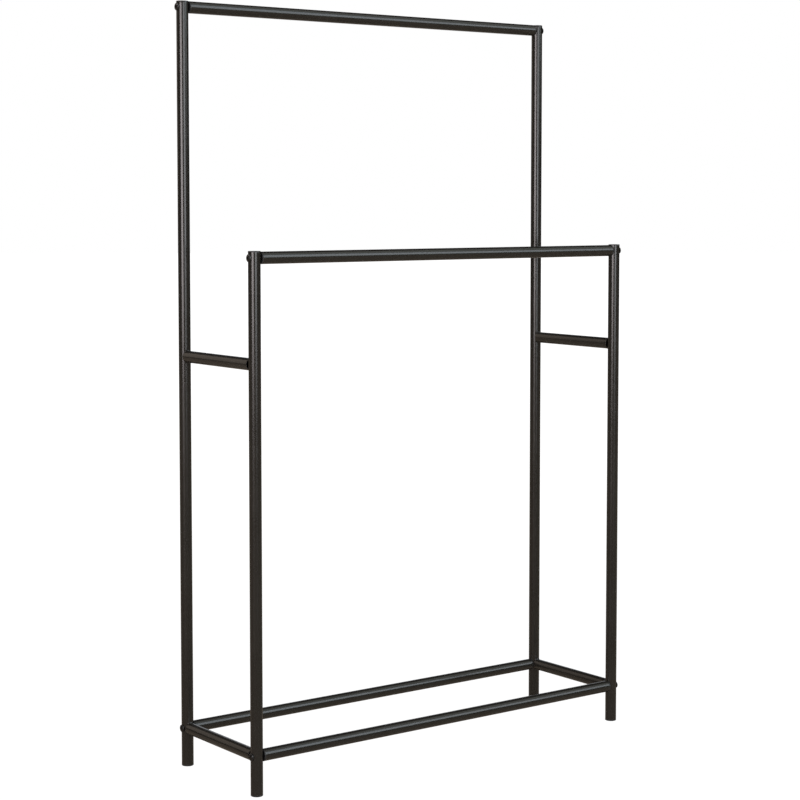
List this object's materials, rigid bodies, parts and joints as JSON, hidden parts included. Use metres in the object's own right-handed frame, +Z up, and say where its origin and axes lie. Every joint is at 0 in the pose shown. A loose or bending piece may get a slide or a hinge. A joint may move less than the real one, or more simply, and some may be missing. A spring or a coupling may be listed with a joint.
{
  "type": "garment rail",
  "caption": "Free-standing garment rail in round black steel tube: tall rear hanging rail, lower front hanging rail, welded side frames, bolted rails, open base frame.",
  "frame": {"origin": "on the floor, under the middle of the frame, where the glides rest", "axes": "+X along the rails to the right, +Y from the low front frame to the tall rear frame, +Z up"},
  "size_m": [0.996, 0.2944, 1.6],
  "materials": {
    "frame_tube": "semi-gloss black powder coat with fine orange peel",
    "weld": "weld beads under the same black powder coat",
    "black_plastic": "fine-textured black moulded plastic",
    "screw_black": "black-coated steel, satin",
    "zinc_nut": "bright zinc plate"
  },
  "bodies": {
    "root": {"front_bottom_nut_left": "zinc_nut", "front_bottom_nut_right": "zinc_nut", "front_bottom_plug_left": "black_plastic", "front_bottom_plug_right": "black_plastic", "front_bottom_rail": "frame_tube", "front_bottom_screw_left": "screw_black", "front_bottom_screw_right": "screw_black", "front_cap_left": "black_plastic", "front_cap_right": "black_plastic", "front_glide_left": "black_plastic", "front_glide_right": "black_plastic", "front_post_left": "frame_tube", "front_post_right": "frame_tube", "front_top_nut_left": "zinc_nut", "front_top_nut_right": "zinc_nut", "front_top_plug_left": "black_plastic", "front_top_plug_right": "black_plastic", "front_top_rail": "frame_tube", "front_top_screw_left": "screw_black", "front_top_screw_right": "screw_black", "lower_rung_left": "frame_tube", "lower_rung_right": "frame_tube", "lower_welds_left": "weld", "lower_welds_right": "weld", "rear_bottom_nut_left": "zinc_nut", "rear_bottom_nut_right": "zinc_nut", "rear_bottom_plug_left": "black_plastic", "rear_bottom_plug_right": "black_plastic", "rear_bottom_rail": "frame_tube", "rear_bottom_screw_left": "screw_black", "rear_bottom_screw_right": "screw_black", "rear_cap_left": "black_plastic", "rear_cap_right": "black_plastic", "rear_glide_left": "black_plastic", "rear_glide_right": "black_plastic", "rear_post_left": "frame_tube", "rear_post_right": "frame_tube", "rear_top_nut_left": "zinc_nut", "rear_top_nut_right": "zinc_nut", "rear_top_plug_left": "black_plastic", "rear_top_plug_right": "black_plastic", "rear_top_rail": "frame_tube", "rear_top_screw_left": "screw_black", "rear_top_screw_right": "screw_black", "upper_rung_left": "frame_tube", "upper_rung_right": "frame_tube", "upper_welds_left": "weld", "upper_welds_right": "weld"}
  },
  "joints": []
}
